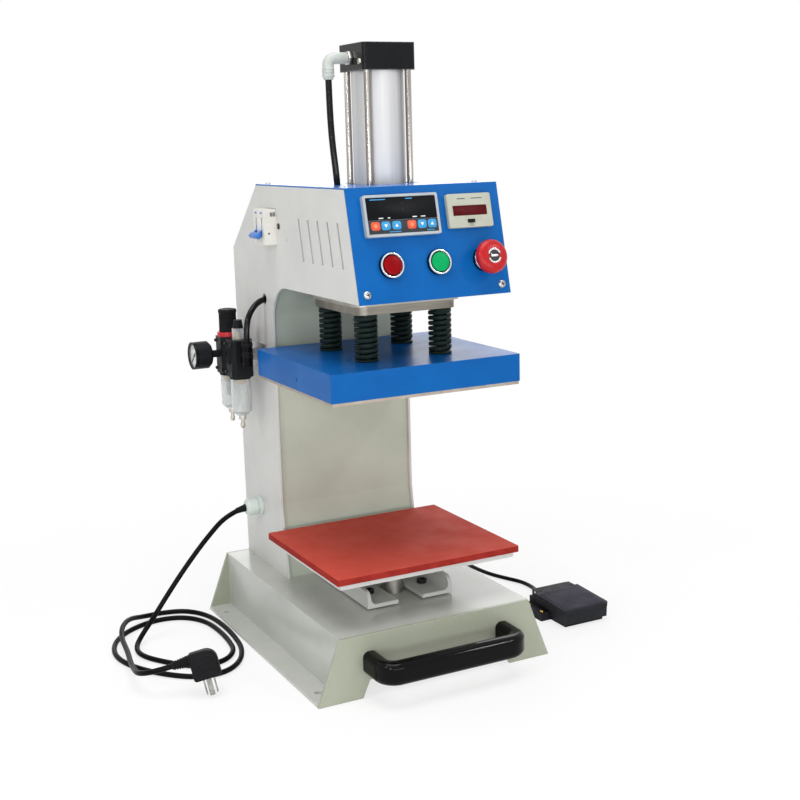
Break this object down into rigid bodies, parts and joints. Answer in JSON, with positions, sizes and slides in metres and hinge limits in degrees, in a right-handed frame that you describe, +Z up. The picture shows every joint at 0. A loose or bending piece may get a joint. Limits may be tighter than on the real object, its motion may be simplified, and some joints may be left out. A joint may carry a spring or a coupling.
{
  "type": "pneumatic heat press",
  "caption": "Bench heat press: folded C-frame, air cylinder driving a sprung heated platen onto a rubber-padded table, leaning control panel, air service unit, mains lead and foot switch.",
  "frame": {"origin": "centre of the four bench bolt holes, on the floor under the base", "axes": "+Z up, the operator stands at -Y and looks along +Y, +X to the operator's right"},
  "size_m": [0.6394, 0.5593, 0.774],
  "materials": {
    "base_paint": "satin",
    "side_paint": "satin",
    "blue_paint": "satin",
    "black_gloss": "gloss",
    "black_steel": "black oxide",
    "steel": "machined",
    "chrome": "polished",
    "alloy": "satin",
    "pad_rubber": "matt",
    "bezel_plastic": "satin",
    "beige_plastic": "matt",
    "key_plastic": "matt",
    "red_plastic": "gloss",
    "green_plastic": "gloss",
    "dark_plastic": "matt",
    "blue_plastic": "gloss",
    "white_plastic": "satin",
    "hose": "satin",
    "clear_plastic": "clear",
    "brass": "satin",
    "black_paint": "satin",
    "cord_rubber": "satin"
  },
  "bodies": {
    "frame": {"base_channel": "base_paint", "base_end_plates": "base_paint", "left_side_plate": "side_paint", "right_side_plate": "side_paint", "throat_plate": "side_paint", "table_plate": "side_paint", "table_rails": "side_paint", "front_panel": "blue_paint", "top_cover": "blue_paint", "rear_cover": "blue_paint", "carry_handle": "black_gloss", "outlet_elbow": "black_gloss", "socket_screws": "black_steel", "cylinder_mount_plate": "steel", "table_post": "steel", "panel_screws": "steel", "tie_rods": "steel", "air_bracket": "steel", "pedal_pin": "chrome", "plug_pins": "chrome", "cylinder_tube": "alloy", "silicone_pad": "pad_rubber", "controller": "bezel_plastic", "button_bezels": "bezel_plastic", "counter": "beige_plastic", "breaker_body": "beige_plastic", "regulator_ring": "red_plastic", "solenoid_valve": "dark_plastic", "mains_plug": "dark_plastic", "pedal_base": "dark_plastic", "cap_elbow": "white_plastic", "cable_gland": "white_plastic", "cylinder_hose": "hose", "supply_hose": "hose", "clear_bowls": "clear_plastic", "drain_cocks": "brass", "gauge_case": "black_paint", "cylinder_top_cap": "black_paint", "cylinder_bottom_cap": "black_paint", "regulator_body": "black_paint", "lubricator_body": "black_paint", "mains_cord": "cord_rubber", "pedal_cord": "cord_rubber", "pedal_coil": "cord_rubber"},
    "ram": {"piston": "alloy", "piston_rod": "chrome", "pressure_plate": "steel", "guide_bolts": "steel", "press_springs": "black_steel"},
    "platen": {"platen_cover": "blue_paint", "heating_plate": "alloy"},
    "red_button": {"red_button_cap": "red_plastic"},
    "green_button": {"green_button_cap": "green_plastic"},
    "stop_plunger": {"stop_button_stem": "dark_plastic"},
    "stop_head": {"stop_button_head": "red_plastic"},
    "reset_key": {"counter_reset_key": "key_plastic"},
    "breaker_lever": {"breaker_toggle": "blue_plastic"},
    "pressure_knob": {"regulator_knob": "dark_plastic"},
    "pressure_needle": {"gauge_needle": "black_paint"},
    "foot_treadle": {"pedal_treadle": "dark_plastic"}
  },
  "joints": [
    {"name": "ram_slide", "type": "slide", "parent": "frame", "child": "ram", "axis": [0, 0, -1], "range_m": [0, 0.208]},
    {"name": "platen_float", "type": "slide", "parent": "ram", "child": "platen", "axis": [0, 0, 1], "range_m": [0, 0.008], "stiffness_N_per_m": 40000, "deforming": ["press_springs"]},
    {"name": "red_button_press", "type": "slide", "parent": "frame", "child": "red_button", "axis": [0, 0.9727, -0.232], "range_m": [0, 0.004], "stiffness_N_per_m": 500},
    {"name": "green_button_press", "type": "slide", "parent": "frame", "child": "green_button", "axis": [0, 0.9727, -0.232], "range_m": [0, 0.004], "stiffness_N_per_m": 500},
    {"name": "stop_press", "type": "slide", "parent": "frame", "child": "stop_plunger", "axis": [0, 0.9727, -0.232], "range_m": [0, 0.004]},
    {"name": "stop_twist", "type": "hinge", "parent": "stop_plunger", "child": "stop_head", "pos_m": [0.069, -0.21677, 0.52267], "axis": [0, 0.9727, -0.232], "range_deg": [0, 45], "stiffness_Nm_per_rad": 0.05},
    {"name": "counter_reset", "type": "slide", "parent": "frame", "child": "reset_key", "axis": [0, 0.9727, -0.232], "range_m": [0, 0.0008], "stiffness_N_per_m": 400},
    {"name": "breaker_throw", "type": "hinge", "parent": "frame", "child": "breaker_lever", "pos_m": [-0.11, 0.0455, 0.555], "axis": [0, 1, 0], "range_deg": [0, 80]},
    {"name": "pressure_turn", "type": "hinge", "parent": "frame", "child": "pressure_knob", "pos_m": [-0.133, 0.137, 0.42], "axis": [0, 0, 1], "continuous": true},
    {"name": "gauge_swing", "type": "hinge", "parent": "frame", "child": "pressure_needle", "pos_m": [-0.1825, 0.137, 0.382], "axis": [1, 0, 0], "range_deg": [0, 270], "stiffness_Nm_per_rad": 0.0001},
    {"name": "treadle_press", "type": "hinge", "parent": "frame", "child": "foot_treadle", "pos_m": [0.265, -0.056, 0.027], "axis": [1, 0, 0], "range_deg": [0, 3.2], "stiffness_Nm_per_rad": 30}
  ]
}
